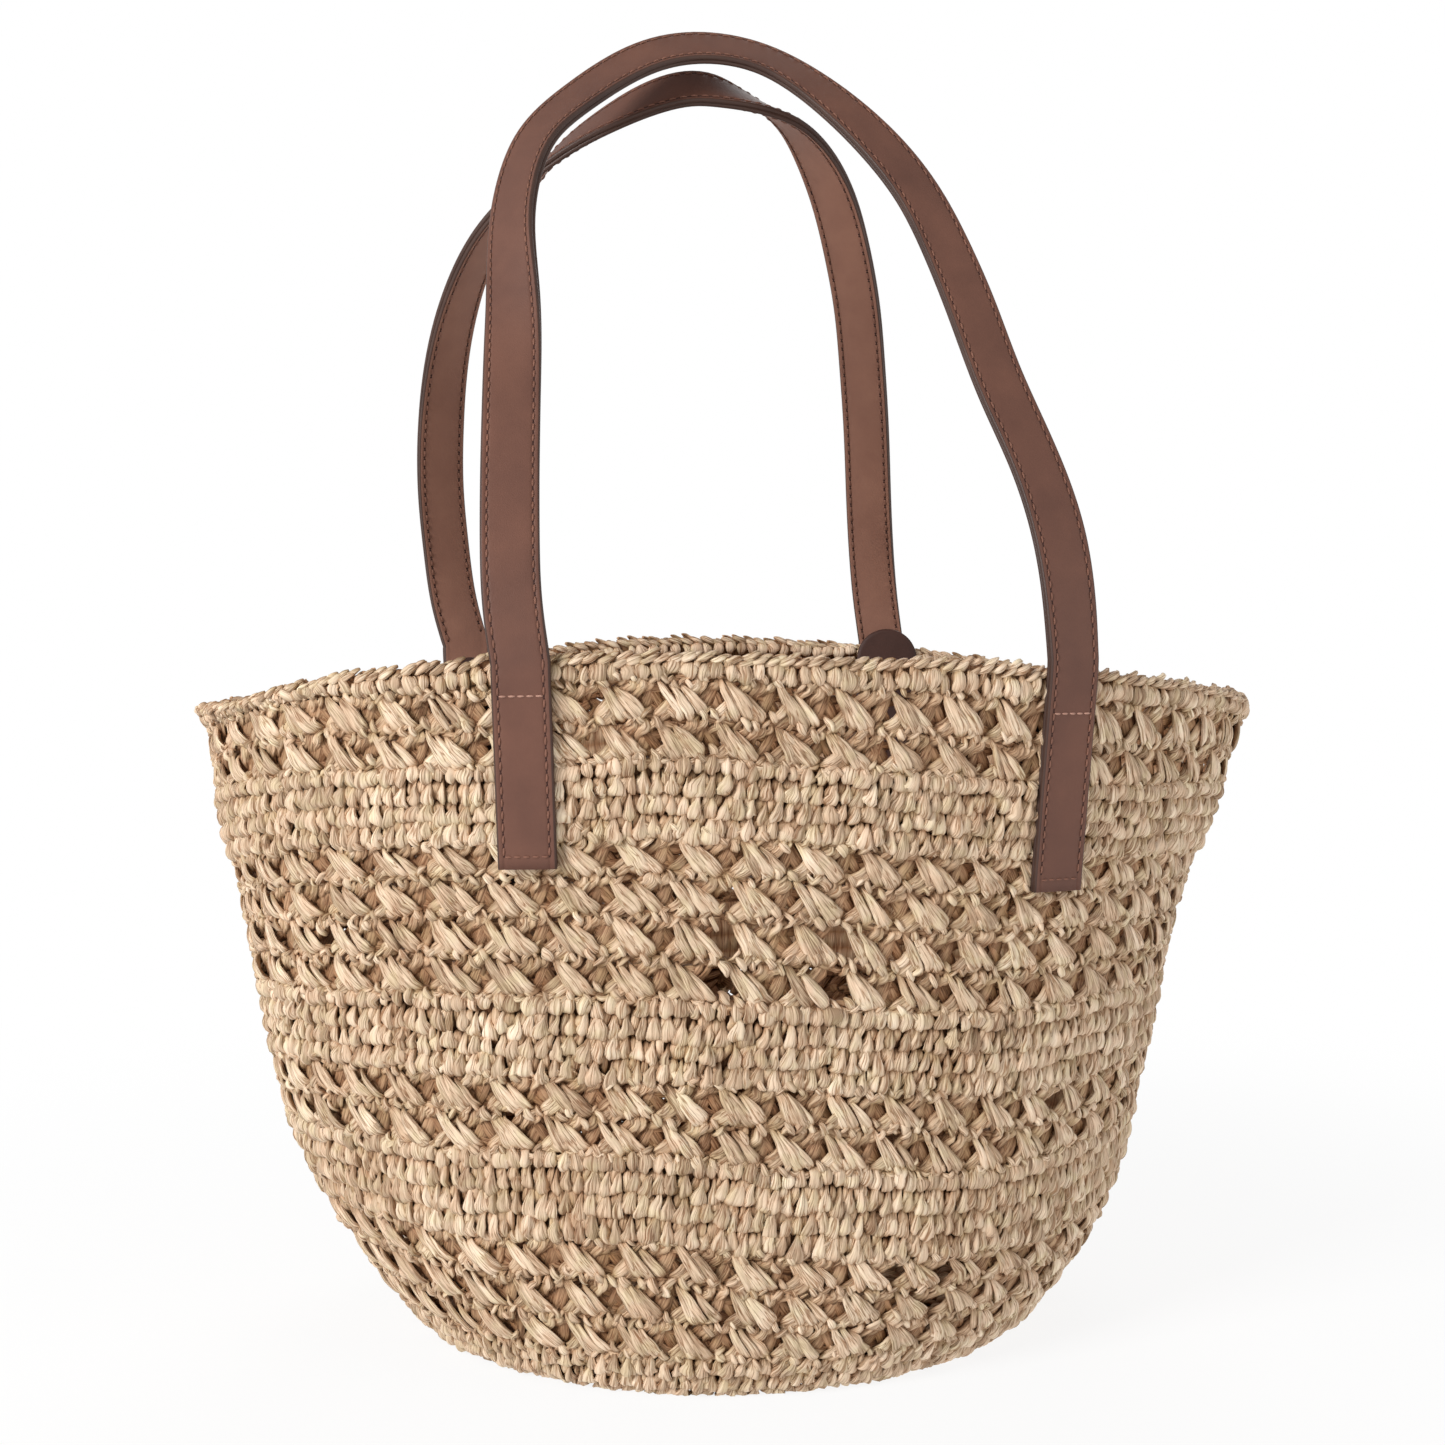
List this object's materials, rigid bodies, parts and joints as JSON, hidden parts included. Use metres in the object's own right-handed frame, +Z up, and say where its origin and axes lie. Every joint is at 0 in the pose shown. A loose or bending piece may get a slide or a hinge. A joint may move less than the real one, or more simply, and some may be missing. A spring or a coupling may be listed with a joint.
{
  "type": "crocheted beach tote",
  "caption": "Crocheted raffia tote with a wide oval mouth, openwork and close bands, and two leather shoulder handles that fold outward.",
  "frame": {"origin": "on the floor under the middle of the base", "axes": "+Z up, +X along the mouth's long direction, the front wall faces -Y"},
  "size_m": [0.434, 0.266, 0.5197],
  "materials": {
    "raffia": "crocheted natural raffia, satin fibre",
    "strap_leather": "smooth brown leather with fine grain",
    "lining_leather": "matt brown leather",
    "patch_leather": "dark brown leather",
    "thread": "waxed brown thread"
  },
  "bodies": {
    "bag": {"base": "raffia", "openwork_band_1": "raffia", "solid_band_lower": "raffia", "openwork_band_2": "raffia", "solid_band_middle": "raffia", "openwork_band_3": "raffia", "solid_band_upper": "raffia", "openwork_band_4": "raffia", "rim_edging": "raffia", "front_left_strap_end": "strap_leather", "front_left_lining_end": "lining_leather", "front_left_box_seam": "thread", "front_left_backing_patch": "patch_leather", "front_right_strap_end": "strap_leather", "front_right_lining_end": "lining_leather", "front_right_box_seam": "thread", "front_right_backing_patch": "patch_leather", "rear_left_strap_end": "strap_leather", "rear_left_lining_end": "lining_leather", "rear_left_box_seam": "thread", "rear_left_backing_patch": "patch_leather", "rear_right_strap_end": "strap_leather", "rear_right_lining_end": "lining_leather", "rear_right_box_seam": "thread", "rear_right_backing_patch": "patch_leather"},
    "front_handle": {"front_handle_strap": "strap_leather", "front_handle_lining": "lining_leather", "front_handle_edge_threads": "thread"},
    "rear_handle": {"rear_handle_strap": "strap_leather", "rear_handle_lining": "lining_leather", "rear_handle_edge_threads": "thread"}
  },
  "joints": [
    {"name": "front_handle_swing", "type": "hinge", "parent": "bag", "child": "front_handle", "pos_m": [0, -0.13102, 0.26853], "axis": [1, 0, 0], "range_deg": [0, 165]},
    {"name": "rear_handle_swing", "type": "hinge", "parent": "bag", "child": "rear_handle", "pos_m": [0, 0.13176, 0.26884], "axis": [-1, 0, 0], "range_deg": [0, 165]}
  ]
}
